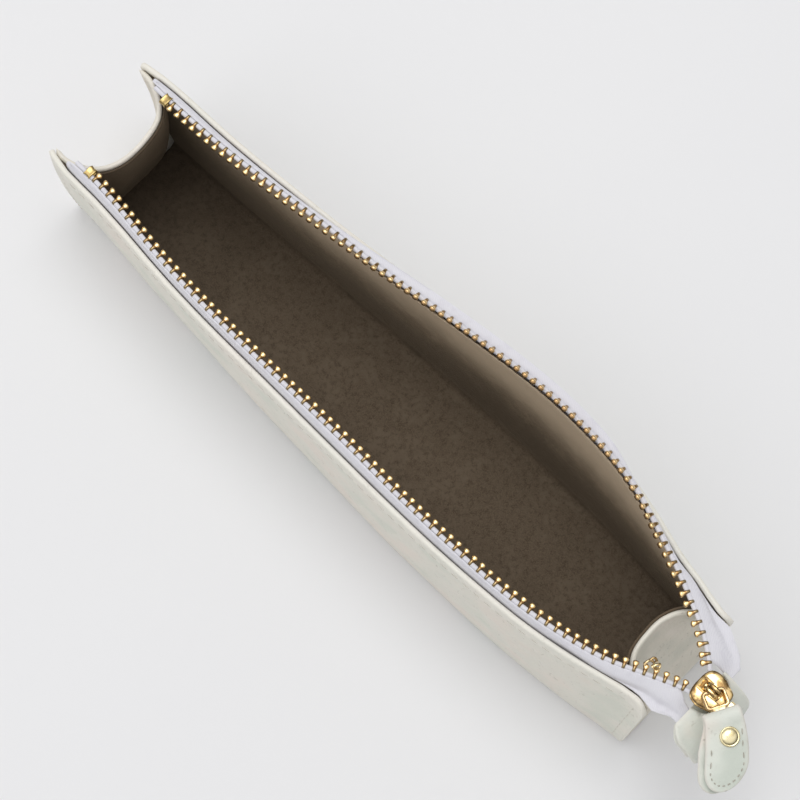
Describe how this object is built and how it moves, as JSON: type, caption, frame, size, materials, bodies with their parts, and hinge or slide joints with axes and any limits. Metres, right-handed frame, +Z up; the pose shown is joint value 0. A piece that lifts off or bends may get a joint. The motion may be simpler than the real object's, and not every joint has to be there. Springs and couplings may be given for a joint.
{
  "type": "pen case",
  "caption": "Slim soft leather pen case with folding end gussets, suede lining and a full-length metal zip along its top, shown open.",
  "frame": {"origin": "centre of the base's flat underside, halfway along the body", "axes": "+X along the case towards the slider's end, -Y the front wall, +Z up out of the mouth"},
  "size_m": [0.2141, 0.0477, 0.0499],
  "materials": {
    "leather": "fine-grained ivory leather, semi-matte",
    "lining": "taupe microsuede, matte",
    "zip_tape": "pale lavender-white woven tape",
    "zip_brass": "darkened brass, worn bright on the heads",
    "pale_gold": "polished pale gold"
  },
  "bodies": {
    "base": {"base_panel": "leather", "base_lining": "lining", "left_gusset": "leather", "left_gusset_lining": "lining", "right_gusset": "leather", "right_gusset_lining": "lining", "zip_end_tab": "leather", "bottom_stop": "pale_gold"},
    "front_wall": {"front_panel": "leather", "front_lining": "lining", "front_tape": "zip_tape", "front_tooth_row": "zip_brass", "front_top_stop": "pale_gold"},
    "back_wall": {"back_panel": "leather", "back_lining": "lining", "back_tape": "zip_tape", "back_tooth_row": "zip_brass", "back_top_stop": "pale_gold"},
    "slider": {"slider": "pale_gold"},
    "pull_link": {"pull_link": "zip_brass"},
    "puller": {"pull_tab": "leather", "rivet_cap": "pale_gold", "rivet_washer": "pale_gold"}
  },
  "joints": [
    {"name": "slider_travel", "type": "slide", "parent": "base", "child": "slider", "axis": [-1, 0, 0], "range_m": [0, 0.18]},
    {"name": "front_wall_fold", "type": "hinge", "parent": "base", "child": "front_wall", "pos_m": [0, -0.0107, 0.0017], "axis": [-1, 0, 0], "range_deg": [0, 14.2], "deforming": ["front_tape", "front_tooth_row", "left_gusset", "left_gusset_lining", "right_gusset", "right_gusset_lining"]},
    {"name": "back_wall_fold", "type": "hinge", "parent": "base", "child": "back_wall", "pos_m": [0, 0.0132, 0.0017], "axis": [1, 0, 0], "range_deg": [0, 14.6], "deforming": ["back_tape", "back_tooth_row"]},
    {"name": "pull_swing", "type": "hinge", "parent": "slider", "child": "pull_link", "pos_m": [0.1018, -0.0006, 0.04725], "axis": [-0.4695, -0.8829, 0], "range_deg": [0, 115]},
    {"name": "tab_swing", "type": "hinge", "parent": "pull_link", "child": "puller", "pos_m": [0.10721, -0.00347, 0.04822], "axis": [-0.4695, -0.8829, 0], "range_deg": [0, 50]}
  ],
  "couplings": [
    {"joint": "front_wall_fold", "follows": "slider_travel", "rad_per_m": 1.367},
    {"joint": "back_wall_fold", "follows": "slider_travel", "rad_per_m": 1.405}
  ]
}
